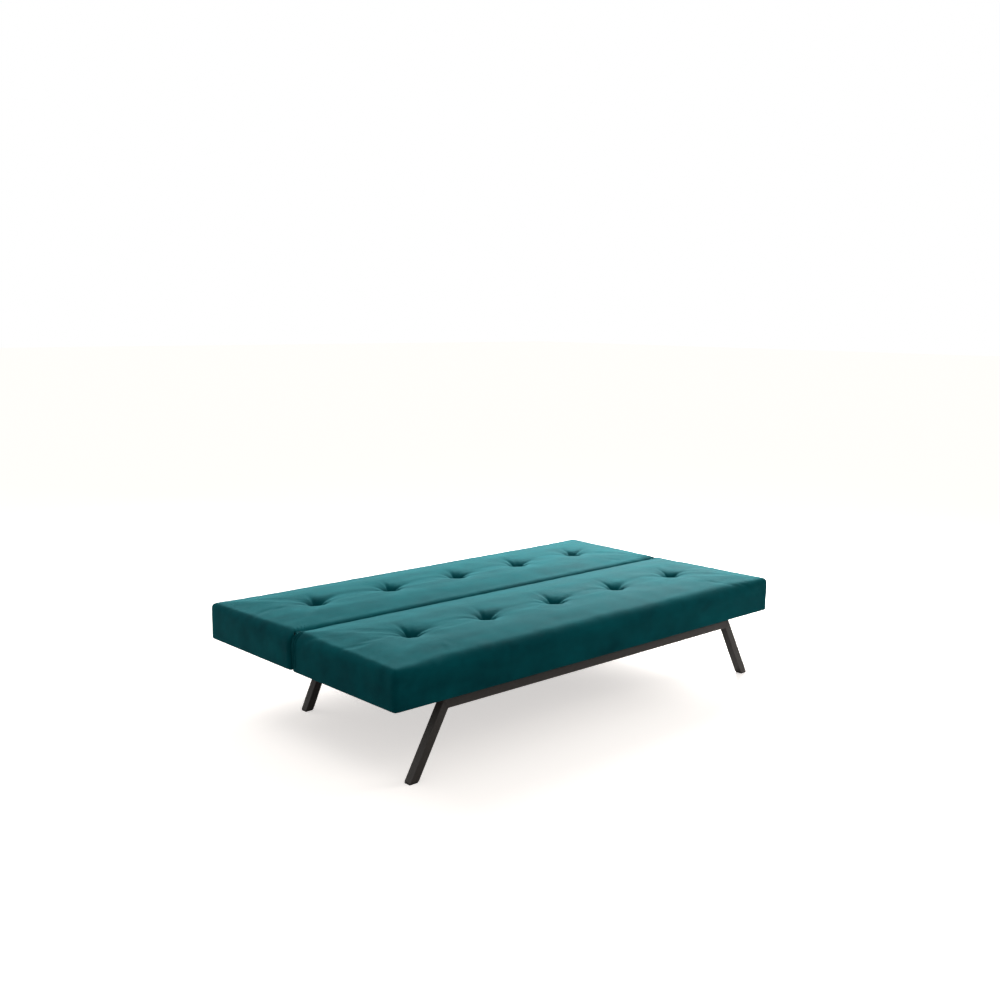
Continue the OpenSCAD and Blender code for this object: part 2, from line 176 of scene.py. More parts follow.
# ---- Steel leg frames and side rails ----
# Two U frames of 28 mm square tube, mitred where leg meets bar, and two side rails welded between
# them. All of it is blasted and powder-coated black in a fine texture.
def feed(tree, socket, value):
    """Links an input socket to another node's output, or sets it to a plain value."""
    if isinstance(value, bpy.types.NodeSocket):
        tree.links.new(value, socket)
    else:
        socket.default_value = value


def add(tree, kind, **inputs):
    """A node with some of its inputs fed."""
    made = tree.nodes.new(kind)
    for key, value in inputs.items():
        feed(tree, made.inputs[key.replace("_", " ")], value)
    return made


def maths(tree, operation, *terms):
    """A Math node on two or three terms, and its result."""
    made = tree.nodes.new("ShaderNodeMath")
    made.operation = operation
    for socket, term in zip(made.inputs, terms):
        feed(tree, socket, term)
    return made.outputs[0]


def start_group(name, wants, gives):
    """A shader node group with named inputs and outputs: (name, socket kind, default) each."""
    group = bpy.data.node_groups.new(name, "ShaderNodeTree")
    for title, kind, value in wants:
        socket = group.interface.new_socket(title, in_out="INPUT", socket_type=kind)
        socket.default_value = value
    for title, kind in gives:
        group.interface.new_socket(title, in_out="OUTPUT", socket_type=kind)
    return group, group.nodes.new("NodeGroupInput"), group.nodes.new("NodeGroupOutput")


def ramp(tree, source, low, high):
    """Stretches a value so that low becomes 0 and high becomes 1."""
    made = add(tree, "ShaderNodeMapRange", Value=source)
    made.inputs["From Min"].default_value = low
    made.inputs["From Max"].default_value = high
    return made.outputs["Result"]


def between(tree, share, first, second):
    """Mixes two colours by a share from 0 to 1."""
    made = tree.nodes.new("ShaderNodeMix")
    made.data_type = "RGBA"
    for place, value in ((0, share), (6, first), (7, second)):
        feed(tree, made.inputs[place], value)
    return made.outputs[2]


def grains(tree, place, scale, detail=3.0):
    """Cloudy noise of so many cells a metre."""
    made = add(tree, "ShaderNodeTexNoise", Vector=place)
    made.inputs["Scale"].default_value = scale
    made.inputs["Detail"].default_value = detail
    return made.outputs["Fac"]


def use_group(tree, group, **values):
    """Places a group in a material, feeds its inputs, and gives its outputs."""
    made = tree.nodes.new("ShaderNodeGroup")
    made.node_tree = group
    for key, value in values.items():
        feed(tree, made.inputs[key.replace("_", " ")], value)
    return made.outputs


def dress(tree, shader, looks):
    """Gives a material the colour and roughness that a group puts out."""
    tree.links.new(looks["Color"], shader.inputs["Base Color"])
    tree.links.new(looks["Roughness"], shader.inputs["Roughness"])


def raised(tree, shader, height, depth, strength=1.0):
    """Feeds a height through a Bump node into the shader's normal; depth is in metres."""
    made = add(tree, "ShaderNodeBump", Height=height)
    made.inputs["Distance"].default_value = depth
    made.inputs["Strength"].default_value = strength
    tree.links.new(made.outputs["Normal"], shader.inputs["Normal"])


# Handling and dust: a colour made uneven in wide clouds and paler in small scuffs
aged, into, out = start_group(
    "uneven_finish",
    [("Vector", "NodeSocketVector", (0, 0, 0)), ("Clean", "NodeSocketColor", (0, 0, 0, 1)),
     ("Scuffed", "NodeSocketColor", (0, 0, 0, 1)), ("Scuff share", "NodeSocketFloat", 0.3),
     ("Roughness", "NodeSocketFloat", 0.5)],
    [("Color", "NodeSocketColor"), ("Roughness", "NodeSocketFloat")])
clouds = grains(aged, into.outputs["Vector"], 9, 4)
scuffs = ramp(aged, grains(aged, into.outputs["Vector"], 70, 6), 0.56, 0.70)
share = maths(aged, "MULTIPLY", scuffs, into.outputs["Scuff share"])
shade = maths(aged, "MULTIPLY_ADD", clouds, 0.22, share)
rougher = maths(aged, "MULTIPLY_ADD", clouds, 0.16, into.outputs["Roughness"])
feed(aged, out.inputs["Color"], between(aged, shade, into.outputs["Clean"], into.outputs["Scuffed"]))
feed(aged, out.inputs["Roughness"], rougher)


def plain_finish(name, clean, scuffed, scuff_share, roughness, metallic=0.0, gloss=0.5,
                 cells=600, depth=0.0001):
    """A painted, plated or moulded finish with scuffs and a fine surface texture."""
    made, tree, shader = new_material(name)
    place = tree.nodes.new("ShaderNodeTexCoord").outputs["Object"]
    looks = use_group(tree, aged, Vector=place, Clean=(*clean, 1), Scuffed=(*scuffed, 1),
                      Scuff_share=scuff_share, Roughness=roughness)
    dress(tree, shader, looks)
    shader.inputs["Metallic"].default_value = metallic
    shader.inputs["Specular IOR Level"].default_value = gloss
    raised(tree, shader, grains(tree, place, cells, 2), depth)
    return made


def eased(name, width, segments=2):
    """Rounds a CAD piece's edges; its mesh stays as it is under the modifiers."""
    weld = node[name].modifiers.new("merge", "WELD")
    weld.merge_threshold = 0.00001
    bevel = node[name].modifiers.new("ease", "BEVEL")
    bevel.width = width
    bevel.segments = segments
    bevel.limit_method = "ANGLE"
    bevel.angle_limit = math.radians(35)
    bevel.use_clamp_overlap = True
    bevel.harden_normals = False


powder_coat = plain_finish("powder_coat", (0.040, 0.034, 0.030), (0.085, 0.074, 0.066), 0.25, 0.40,
                           gloss=0.55, cells=900, depth=0.00025)

for name in node:
    if name.startswith(("front_bar", "front_leg", "rear_bar", "rear_leg", "side_rail")):
        eased(name, 0.0016)


# ---- Weld beads ----
# A thin bead of weld runs round each mitre, where a leg meets its bar. The powder coat covers it, so
# that only a soft ridge shows.
bead_width = 0.0022
bead_proud = 0.0005
tube_corner = 0.0016


def mitre_bead(name, bar_name, leg_name, side):
    """A flat ring in the mitre's plane that stands a little proud of the tubes."""
    bar_low, bar_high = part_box(bar_name)
    leg_low, leg_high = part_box(leg_name)
    inner_x = leg_low.x if side > 0 else leg_high.x
    outer_x = bar_high.x if side > 0 else bar_low.x
    tube = bar_high.y - bar_low.y
    slope = Vector((outer_x - inner_x, 0, bar_high.z - bar_low.z))
    middle = (bar_low + bar_high) / 2
    middle.x = (outer_x + inner_x) / 2
    bm = bmesh.new()
    bmesh.ops.create_grid(bm, x_segments=1, y_segments=1, size=0.5)
    bmesh.ops.scale(bm, vec=(slope.length + 2 * bead_proud, tube + 2 * bead_proud, 1), verts=bm.verts)
    bmesh.ops.bevel(bm, geom=bm.verts[:], offset=tube_corner, segments=3, affect="VERTICES",
                    profile=0.5, material=-1)
    bmesh.ops.inset_region(bm, faces=bm.faces[:], thickness=0.0018, use_boundary=True)
    middle_face = min(bm.faces, key=lambda f: f.calc_center_median().length)
    bmesh.ops.delete(bm, geom=[middle_face], context="FACES_ONLY")
    top = bmesh.ops.extrude_face_region(bm, geom=bm.faces[:])
    lifted = [v for v in top["geom"] if isinstance(v, bmesh.types.BMVert)]
    bmesh.ops.translate(bm, vec=(0, 0, bead_width), verts=lifted)
    bmesh.ops.translate(bm, vec=(0, 0, -bead_width / 2), verts=bm.verts)
    bmesh.ops.recalc_face_normals(bm, faces=bm.faces)
    across = slope.normalized()
    deep = Vector((0, 1, 0))
    turn = Matrix((across, deep, across.cross(deep))).transposed().to_4x4()
    bmesh.ops.transform(bm, matrix=Matrix.Translation(middle) @ turn, verts=bm.verts)
    bead = mesh_piece(name, bm, powder_coat)
    ease = bead.modifiers.new("ease", "BEVEL")
    ease.width = 0.0004
    ease.segments = 2
    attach(bead, "base")


for end in ("front", "rear"):
    for side_name, side in (("left", -1), ("right", 1)):
        mitre_bead(f"weld_{end}_{side_name}", f"{end}_bar", f"{end}_leg_{side_name}", side)


# ---- Glides and buffers ----
# Each leg ends in a moulded black plastic glide, pushed into the tube. Three rubber buffers stand on
# the rear bar, and the back rests on them when it lies flat.
glide_plastic = plain_finish("glide_plastic", (0.016, 0.016, 0.016), (0.06, 0.058, 0.055), 0.5, 0.48,
                             cells=1500, depth=0.00012)
buffer_rubber = plain_finish("buffer_rubber", (0.014, 0.014, 0.014), (0.045, 0.044, 0.042), 0.6, 0.78,
                             gloss=0.3, cells=1100, depth=0.0002)
for name in node:
    if name.startswith("glide"):
        eased(name, 0.0006)
eased("rest_buffers", 0.0015, 3)


# ---- Timber frames and slats ----
# Seat and back each have a frame of planed pine, butt-jointed, with three ribs and fifteen sprung
# slats of birch plywood across it. The covers hide it, but for a strip behind each hinge slot.
wood_figure, into, out = start_group(
    "wood_figure",
    [("Vector", "NodeSocketVector", (0, 0, 0)), ("Early", "NodeSocketColor", (1, 1, 1, 1)),
     ("Late", "NodeSocketColor", (0, 0, 0, 1)), ("Rings", "NodeSocketFloat", 60.0)],
    [("Color", "NodeSocketColor"), ("Height", "NodeSocketFloat")])
drift = grains(wood_figure, into.outputs["Vector"], 3, 3)
shifted = add(wood_figure, "ShaderNodeVectorMath")
shifted.operation = "MULTIPLY_ADD"
for place, term in enumerate((drift, (0.05, 0.05, 0.05), into.outputs["Vector"])):
    feed(wood_figure, shifted.inputs[place], term)
rings = add(wood_figure, "ShaderNodeTexWave", Vector=shifted.outputs["Vector"])
rings.wave_type = "BANDS"
rings.bands_direction = "Y"
rings.inputs["Distortion"].default_value = 3.0
rings.inputs["Detail"].default_value = 2.0
feed(wood_figure, rings.inputs["Scale"], into.outputs["Rings"])
pores = grains(wood_figure, into.outputs["Vector"], 220, 2)
figure = maths(wood_figure, "MULTIPLY", rings.outputs["Fac"], pores)
feed(wood_figure, out.inputs["Color"],
     between(wood_figure, figure, into.outputs["Early"], into.outputs["Late"]))
feed(wood_figure, out.inputs["Height"], figure)


def wood(name, early, late, ring_count, along_y):
    """Planed wood whose grain runs along X, or along Y where along_y is true."""
    made, tree, shader = new_material(name)
    place = tree.nodes.new("ShaderNodeTexCoord").outputs["Object"]
    stretch = add(tree, "ShaderNodeMapping", Vector=place)
    stretch.inputs["Rotation"].default_value = (0, 0, math.radians(90 if along_y else 0))
    stretch.inputs["Scale"].default_value = (0.06, 1, 1)
    if along_y:
        stretch.inputs["Scale"].default_value = (1, 0.06, 1)
    looks = use_group(tree, wood_figure, Vector=stretch.outputs["Vector"], Early=(*early, 1),
                      Late=(*late, 1), Rings=ring_count)
    tree.links.new(looks["Color"], shader.inputs["Base Color"])
    shader.inputs["Roughness"].default_value = 0.62
    raised(tree, shader, looks["Height"], 0.0003)
    return made


early_pine = (0.68, 0.50, 0.29)
late_pine = (0.42, 0.25, 0.11)
pine_long = wood("pine_long", early_pine, late_pine, 55, False)
pine_cross = wood("pine_cross", early_pine, late_pine, 55, True)
birch = wood("birch", (0.72, 0.58, 0.38), (0.52, 0.37, 0.20), 90, True)
for name in node:
    if "_rail" in name and not name.startswith("side") or "_rib_" in name:
        eased(name, 0.0012)


# ---- Velvet ----
# Petrol upholstery velvet: a dense short pile that is dark looked straight into and pale along the
# pile's tips. Hands have laid the nap this way and that, in soft streaks along the cushions.
velvet_nap, into, out = start_group(
    "velvet_nap",
    [("Vector", "NodeSocketVector", (0, 0, 0)), ("Deep", "NodeSocketColor", (0, 0, 0, 1)),
     ("Brushed", "NodeSocketColor", (1, 1, 1, 1)), ("Roughness", "NodeSocketFloat", 0.8)],
    [("Color", "NodeSocketColor"), ("Roughness", "NodeSocketFloat"), ("Height", "NodeSocketFloat")])
lie = add(velvet_nap, "ShaderNodeMapping", Vector=into.outputs["Vector"])
lie.inputs["Scale"].default_value = (1.0, 2.3, 2.3)
streaks = grains(velvet_nap, lie.outputs["Vector"], 5.5, 5)
patches = grains(velvet_nap, into.outputs["Vector"], 26, 3)
tips = grains(velvet_nap, into.outputs["Vector"], 1600, 2)
laid = ramp(velvet_nap, maths(velvet_nap, "MULTIPLY_ADD", patches, 0.35, streaks), 0.42, 0.95)
fibre = ramp(velvet_nap, maths(velvet_nap, "MULTIPLY_ADD", tips, 0.5, laid), 0.0, 1.5)
soften = maths(velvet_nap, "MULTIPLY_ADD", laid, 0.12, into.outputs["Roughness"])
feed(velvet_nap, out.inputs["Color"],
     between(velvet_nap, fibre, into.outputs["Deep"], into.outputs["Brushed"]))
feed(velvet_nap, out.inputs["Roughness"], soften)
feed(velvet_nap, out.inputs["Height"], tips)

velvet, tree, shader = new_material("velvet")
place = tree.nodes.new("ShaderNodeTexCoord").outputs["Object"]
looks = use_group(tree, velvet_nap, Vector=place, Deep=(0.0002, 0.034, 0.043, 1),
                  Brushed=(0.0010, 0.094, 0.108, 1), Roughness=0.82)
dress(tree, shader, looks)
shader.inputs["Specular IOR Level"].default_value = 0.02
shader.inputs["Sheen Weight"].default_value = 0.60
shader.inputs["Sheen Roughness"].default_value = 0.34
shader.inputs["Sheen Tint"].default_value = (0.18, 0.62, 0.68, 1)
raised(tree, shader, looks["Height"], 0.0006, 0.6)


# ---- Seat and back upholstery ----
# Each half is one sheet of velvet over wadding and 75 mm of foam. It is drawn down by twine at five
# buttons, pulled over the timber frame, and turned under as a hem that is stapled to the rails.
cell = 0.0095
edge_round = 0.044
end_round = 0.026
end_round_at_junction = 0.040
front_round = 0.044
rear_round = 0.030
seat_junction_round = 0.016
back_junction_round = 0.026
corner_edge = 0.016
corner_reach = 0.22
round_spread = 0.070
corner_round = 0.014
crown = 0.011
crown_rise = 0.15
well_slope = 0.017
well_fall = 0.82
well_reach = 0.2
fine_reach = 0.075
slack = 0.0011
slack_cells = 14
turn_under = 0.004
stuffing_frames = 14
wrinkle_passes = 22
wrinkle_share = 0.36
wrinkle_most = 0.0025
wrinkle_fade = 0.07
junction_gap = 0.0012
junction_lean = math.radians(40)
hinge_y, hinge_z = frame["joints"][0]["pos_m"][1:]
cover_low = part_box("seat_cover")[0]
timber_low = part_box("seat_front_rail")[0]
foam_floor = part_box("seat_foam")[0].z
hem_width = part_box("seat_dust_cover")[0].x - cover_low.x
hem_thickness = timber_low.z - cover_low.z
wrap = timber_low.y - cover_low.y


def tuft_places(buttons):
    """The middles of the five buttons of one cushion, and their radius."""
    low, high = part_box(buttons)
    radius = (high.y - low.y) / 2
    pitch = (high.x - low.x - 2 * radius) / 4
    return [Vector((i * pitch, (low.y + high.y) / 2, high.z + 0.001)) for i in range(-2, 3)], radius


def grow_ring(bm, middle, half, out, down):
    """Extrudes the open edge outwards and down, and returns the new ring's half sizes."""
    rim = [e for e in bm.edges if e.is_boundary]
    made = bmesh.ops.extrude_edge_only(bm, edges=rim)
    verts = [v for v in made["geom"] if isinstance(v, bmesh.types.BMVert)]
    wide = (half[0] + out, half[1] + out)
    bmesh.ops.scale(bm, vec=(wide[0] / half[0], wide[1] / half[1], 1), verts=verts,
                    space=Matrix.Translation(-middle))
    bmesh.ops.translate(bm, vec=(0, 0, -down), verts=verts)
    return wide


def smooth_step(t):
    """0 below 0, 1 above 1, and a soft rise between."""
    t = min(max(t, 0.0), 1.0)
    return t * t * (3 - 2 * t)


def tighten_edges(bm, middle, half, top, outer_round, junction_side_round, behind):
    """Draws the rounded top edges in to each side's own radius: tight at the two outer corners, and
    fuller at the ends of the junction."""
    for v in bm.verts:
        level = v.co.z - (top - edge_round)
        if level <= 0:
            continue
        loose = edge_round - math.sqrt(max(edge_round ** 2 - level ** 2, 0.0))
        offs = (v.co.x - middle.x, v.co.y - middle.y)
        by_junction = smooth_step((half[1] + behind * offs[1]) / corner_reach)
        by_outside = smooth_step((half[1] - behind * offs[1]) / corner_reach)
        by_end = smooth_step((half[0] - abs(offs[0])) / corner_reach)
        ends = end_round_at_junction + (end_round - end_round_at_junction) * by_junction
        ends = corner_edge + (ends - corner_edge) * by_outside
        outside = corner_edge + (outer_round - corner_edge) * by_end
        sides = (ends, outside if behind * offs[1] > 0 else junction_side_round)
        for axis in (0, 1):
            off = offs[axis]
            radius = sides[axis]
            risen = max(level - (edge_round - radius), 0.0)
            tight = radius - math.sqrt(max(radius ** 2 - risen ** 2, 0.0))
            share = smooth_step((abs(off) - (half[axis] - loose) + round_spread) / round_spread)
            v.co[axis] += math.copysign((loose - tight) * share, off)


def sheet_over(cover, behind):
    """The flat-topped sheet before stuffing: top, rounded edge, sides and hem."""
    low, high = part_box(cover)
    middle = (low + high) / 2
    half = ((high.x - low.x) / 2 - edge_round, (high.y - low.y) / 2 - edge_round)
    bm = bmesh.new()
    across, along = (round(2 * size / cell) for size in half)
    bmesh.ops.create_grid(bm, x_segments=across, y_segments=along, size=1)
    bmesh.ops.scale(bm, vec=(half[0], half[1], 1), verts=bm.verts)
    bmesh.ops.translate(bm, vec=(middle.x, middle.y, high.z), verts=bm.verts)
    edge_rings, side_rings, hem_rings = 6, 9, 3
    for k in range(edge_rings):
        now, then = (math.radians(90 * (k + i) / edge_rings) for i in (1, 0))
        half = grow_ring(bm, middle, half, edge_round * (math.sin(now) - math.sin(then)),
                         edge_round * (math.cos(then) - math.cos(now)))
    drop = high.z - edge_round - low.z - turn_under
    for k in range(side_rings):
        half = grow_ring(bm, middle, half, 0, drop / side_rings)
    half = grow_ring(bm, middle, half, -turn_under * 0.3, turn_under * 0.7)
    half = grow_ring(bm, middle, half, -turn_under * 0.7, turn_under * 0.3)
    for k in range(hem_rings):
        half = grow_ring(bm, middle, half, -(hem_width - turn_under) / hem_rings, 0)
    half = ((high.x - low.x) / 2, (high.y - low.y) / 2)
    if behind < 0:
        tighten_edges(bm, middle, half, high.z, front_round, seat_junction_round, behind)
    else:
        tighten_edges(bm, middle, half, high.z, rear_round, back_junction_round, behind)
    round_corners(bm, middle, half)
    return bm


def round_corners(bm, middle, half):
    """Rounds the upright corners of every ring below the flat top."""
    for v in bm.verts:
        x, y = v.co.x - middle.x, v.co.y - middle.y
        over_x = abs(x) - (half[0] - corner_round)
        over_y = abs(y) - (half[1] - corner_round)
        reach = max(over_x, over_y)
        if over_x > 0 and over_y > 0:
            share = reach / math.hypot(over_x, over_y)
            v.co.x = middle.x + math.copysign(half[0] - corner_round + over_x * share, x)
            v.co.y = middle.y + math.copysign(half[1] - corner_round + over_y * share, y)


def swell_at(place, low, high):
    """How far the stuffing lifts the velvet at a place on top, with no tufts in it."""
    inset = min(place.x - low.x, high.x - place.x, place.y - low.y, high.y - place.y)
    return crown * smooth_step(inset / crown_rise)


def pull_creases(seed):
    """The creases that run out from one tuft: (direction, width, length, depth) each."""
    draw = random.Random(seed)
    creases = []
    for degrees, share in ((4, 1.25), (170, 1.1), (78, 1.2), (214, 0.6), (322, 0.6), (42, 0.6),
                           (126, 0.6), (272, 0.5)):
        way = math.radians(degrees + draw.uniform(-11, 11))
        creases.append((way, draw.uniform(0.10, 0.16), share * draw.uniform(0.050, 0.072),
                        share * draw.uniform(0.0034, 0.0050)))
    return creases


def well_at(place, tufts, radius, top):
    """How far the nearest tuft draws the velvet down at a place on top."""
    depth = 0.0
    for tuft, creases in tufts:
        off = Vector((place.x - tuft.x, place.y - tuft.y))
        reach = max(off.length - radius, 0.0)
        if reach > well_reach:
            continue
        way = math.atan2(off.y, off.x)
        drawn = (top - tuft.z) * math.exp(-(reach / well_slope) ** well_fall)
        for crease_way, width, length, deep in creases:
            aside = (way - crease_way + math.pi) % (2 * math.pi) - math.pi
            line = math.exp(-(aside / (width + 0.0025 / max(off.length, 0.001))) ** 2)
            drawn += deep * line * smooth_step(reach / 0.010) * math.exp(-(reach / length) ** 2)
        depth = max(depth, drawn)
    return depth


def stuffing_wrinkles(cushion, tufts, radius, high):
    """Simulates the velvet as cloth, blown up by its filling while the twine draws the tufts in, and
    adds the small folds that this leaves to the sheet; the foam keeps its larger shape."""
    held = cushion.vertex_groups.new(name="held")
    cushion.shape_key_add(name="loose")
    drawn = cushion.shape_key_add(name="drawn")
    flat = [v.co.copy() for v in cushion.data.vertices]
    nearest = [min((place.xy - tuft.xy).length for tuft, creases in tufts) for place in flat]
    for i, place in enumerate(flat):
        if place.z > high.z - edge_round * 0.5 and nearest[i] < radius:
            held.add([i], 1.0, "REPLACE")
            drawn.data[i].co.z = tufts[0][0].z
        elif place.z < foam_floor - 0.01:
            held.add([i], 1.0, "REPLACE")
    drawn.value = 0.0
    drawn.keyframe_insert("value", frame=1)
    drawn.value = 1.0
    drawn.keyframe_insert("value", frame=stuffing_frames // 2)
    cloth = cushion.modifiers.new("stuffing", "CLOTH")
    cloth.settings.quality = 6
    cloth.settings.vertex_group_mass = "held"
    cloth.settings.use_pressure = True
    cloth.settings.uniform_pressure_force = 6
    cloth.settings.effector_weights.gravity = 0
    cloth.settings.tension_stiffness = 18
    cloth.settings.compression_stiffness = 8
    cloth.settings.shear_stiffness = 4
    cloth.settings.bending_stiffness = 2.0
    cloth.settings.tension_damping = 12
    cloth.settings.compression_damping = 12
    cloth.settings.air_damping = 4
    cloth.point_cache.frame_start = 1
    cloth.point_cache.frame_end = stuffing_frames
    for step in range(1, stuffing_frames + 1):
        scene.frame_set(step)
    blown = cushion.evaluated_get(bpy.context.evaluated_depsgraph_get()).data
    moved = [v.co.copy() for v in blown.vertices]
    cushion.modifiers.clear()
    cushion.shape_key_clear()
    cushion.vertex_groups.clear()
    scene.frame_set(1)
    even = bmesh.new()
    even.from_mesh(cushion.data)
    for v, place in zip(even.verts, moved):
        v.co = place
    for step in range(wrinkle_passes):
        bmesh.ops.smooth_vert(even, verts=even.verts, factor=0.5, use_axis_x=True, use_axis_y=True,
                              use_axis_z=True)
    for v, smoothed, place, near in zip(cushion.data.vertices, even.verts, moved, nearest):
        fold = place - smoothed.co
        share = wrinkle_share * smooth_step((near - radius) / wrinkle_fade)
        share *= smooth_step((v.co.z - foam_floor) / 0.02)
        v.co += fold * share * min(1.0, wrinkle_most / max(fold.length, 0.0001))
    even.free()


def refine_near(bm, tufts, reach):
    """Splits the cells round each tuft, where the creases need them."""
    near = []
    for e in bm.edges:
        middle = (e.verts[0].co + e.verts[1].co) / 2
        away = min((middle - tuft).xy.length for tuft, creases in tufts)
        if away < reach and min(v.co.z for v in e.verts) > tufts[0][0].z:
            near.append(e)
    bmesh.ops.subdivide_edges(bm, edges=near, cuts=1, use_grid_fill=True)


def upholster(name, cover, buttons, behind):
    """Makes one stuffed cushion; behind is 1 where it lies behind the hinge."""
    low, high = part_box(cover)
    places, radius = tuft_places(buttons)
    tufts = [(place, pull_creases(f"{name} {i}")) for i, place in enumerate(places)]
    bm = sheet_over(cover, behind)
    bmesh.ops.recalc_face_normals(bm, faces=bm.faces)
    cushion = mesh_piece(name, bm, velvet)
    stuffing_wrinkles(cushion, tufts, radius, high)
    bm = bmesh.new()
    bm.from_mesh(cushion.data)
    refine_near(bm, tufts, fine_reach)
    bm.to_mesh(cushion.data)
    bm.free()
    subdivided(cushion)
    bm = bmesh.new()
    bm.from_mesh(cushion.data)
    for v in bm.verts:
        if v.co.z > high.z - edge_round * 0.5:
            lift = swell_at(v.co, low, high)
            v.co.z += lift - well_at(v.co, tufts, radius, high.z + lift)
        if v.co.z > low.z + 0.006:
            v.co += v.normal * slack * noise.noise(v.co * slack_cells)
        hinge_room(v, behind)
    bm.to_mesh(cushion.data)
    bm.free()
    return cushion


def hinge_room(v, behind):
    """Keeps the junction side clear of the other cushion through the whole fold."""
    off = (v.co.y - hinge_y) * behind
    need = junction_gap + max(0.0, v.co.z - hinge_z) * math.tan(junction_lean)
    if off < need:
        v.co.y = hinge_y + need * behind


def close_form(cushion, low, high):
    """Adds the inside of the cover round the timber and the foam's underside."""
    middle = (low + high) / 2
    bm = bmesh.new()
    bm.from_mesh(cushion.data)
    half = ((high.x - low.x) / 2 - hem_width, (high.y - low.y) / 2 - hem_width)
    half = grow_ring(bm, middle, half, 0, -hem_thickness)
    half = grow_ring(bm, middle, half, hem_width - wrap, 0)
    half = grow_ring(bm, middle, half, 0, -(foam_floor - timber_low.z))
    rim = [e for e in bm.edges if e.is_boundary]
    bmesh.ops.edgeloop_fill(bm, edges=rim)
    bmesh.ops.recalc_face_normals(bm, faces=bm.faces)
    bm.to_mesh(cushion.data)
    bm.free()


def subdivided(cushion):
    """One level of subdivision, applied."""
    rounder = cushion.modifiers.new("rounder", "SUBSURF")
    rounder.levels = 1
    rounder.render_levels = 1
    bpy.context.view_layer.update()
    seen_mesh = cushion.evaluated_get(bpy.context.evaluated_depsgraph_get())
    finished = bpy.data.meshes.new_from_object(seen_mesh)
    cushion.modifiers.clear()
    cushion.data = finished


def both_ends(bm):
    """Mirrors what is made at the right end to the left end."""
    bmesh.ops.mirror(bm, geom=bm.verts[:] + bm.edges[:] + bm.faces[:], axis="X", merge_dist=0)
    bmesh.ops.recalc_face_normals(bm, faces=bm.faces)
    return bm


def slot_box(inner, outer, reach, bottom, top):
    """A slot from x inner to outer, so far before and behind the hinge, between two heights."""
    bm = bmesh.new()
    bmesh.ops.create_cube(bm, size=1)
    bmesh.ops.scale(bm, vec=(outer - inner, 2 * reach, top - bottom), verts=bm.verts)
    bmesh.ops.translate(bm, vec=((inner + outer) / 2, hinge_y, (bottom + top) / 2), verts=bm.verts)
    return both_ends(bm)


def slot_disc(inner, outer, radius, first=0, sweep=360):
    """A disc about the hinge from x inner to outer, or a sector of one; degrees count from the rear
    upwards."""
    bm = bmesh.new()
    way = math.radians(first)
    start = bmesh.ops.create_vert(bm, co=(inner, hinge_y + radius * math.cos(way),
                                          hinge_z + radius * math.sin(way)))
    step = 7.5
    bmesh.ops.spin(bm, geom=start["vert"], cent=(inner, hinge_y, hinge_z), axis=(1, 0, 0),
                   angle=math.radians(sweep), steps=round(sweep / step), use_merge=sweep == 360)
    if sweep < 360:
        bmesh.ops.create_vert(bm, co=(inner, hinge_y, hinge_z))
        bm.verts.ensure_lookup_table()
        bm.edges.new((bm.verts[0], bm.verts[-1]))
        bm.edges.new((bm.verts[-2], bm.verts[-1]))
    bmesh.ops.edgeloop_fill(bm, edges=bm.edges)
    lifted = bmesh.ops.extrude_face_region(bm, geom=bm.faces[:])
    verts = [v for v in lifted["geom"] if isinstance(v, bmesh.types.BMVert)]
    bmesh.ops.translate(bm, vec=(outer - inner, 0, 0), verts=verts)
    return both_ends(bm)


def cut_away(cushion, bm):
    """Cuts a shape out of the cushion for good."""
    cutter = mesh_piece("cutter", bm)
    knife = cushion.modifiers.new("knife", "BOOLEAN")
    knife.operation = "DIFFERENCE"
    knife.solver = "EXACT"
    knife.object = cutter
    bpy.context.view_layer.update()
    cut = cushion.evaluated_get(bpy.context.evaluated_depsgraph_get())
    finished = bpy.data.meshes.new_from_object(cut)
    cushion.modifiers.clear()
    cushion.data = finished
    bpy.data.objects.remove(cutter)


def span(name):
    """The lowest and highest x of a node."""
    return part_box(name)[0].x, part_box(name)[1].x


hinge_play = 0.0008
eye_room = 0.0151
rivet_head_room = 0.0095
cap_radius = 0.0163
rim_room = 0.0275
slot_reach = 0.095
slot_floor = 0.275
slot_top = hinge_z - 0.017
rivet_inner, rivet_outer = span("pivot_rivet_right")
arm_inner, arm_outer = span("back_bracket_right")
rim_inner, rim_outer = span("seat_bracket_right")
cap_inner = rivet_inner - 0.0005
cap_outer = rivet_outer + 0.0040


def eye_slots(piece):
    """Cuts the room of the brackets' eyes and of the rivet heads."""
    cut_away(piece, slot_disc(arm_inner - hinge_play, rim_outer + hinge_play, eye_room))
    cut_away(piece, slot_disc(rivet_inner - hinge_play, rivet_outer + hinge_play, rivet_head_room))


def hinge_slots(cushion, behind):
    """Cuts the slots in which the brackets, the rivets, the ratchet rims and the caps turn."""
    slot_inner = arm_inner - 0.009
    slot_outer = span("pawl_pin_right")[1] + 0.0015
    cut_away(cushion, slot_box(slot_inner, slot_outer, slot_reach, slot_floor, slot_top))
    eye_slots(cushion)
    if behind > 0:
        cut_away(cushion, slot_disc(rim_inner - hinge_play, rim_outer + hinge_play, rim_room, -90, 106))
        cut_away(cushion, slot_disc(cap_inner - hinge_play, cap_outer + hinge_play,
                                    cap_radius + hinge_play))


for name, body, behind in (("seat", "base", -1), ("back", "back", 1)):
    cushion = upholster(name + "_cushion", name + "_cover", name + "_buttons", behind)
    close_form(cushion, *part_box(name + "_cover"))
    hinge_slots(cushion, behind)
    for face in cushion.data.polygons:
        face.use_smooth = True
    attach(cushion, body)
    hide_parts(name + "_cover", name + "_foam")


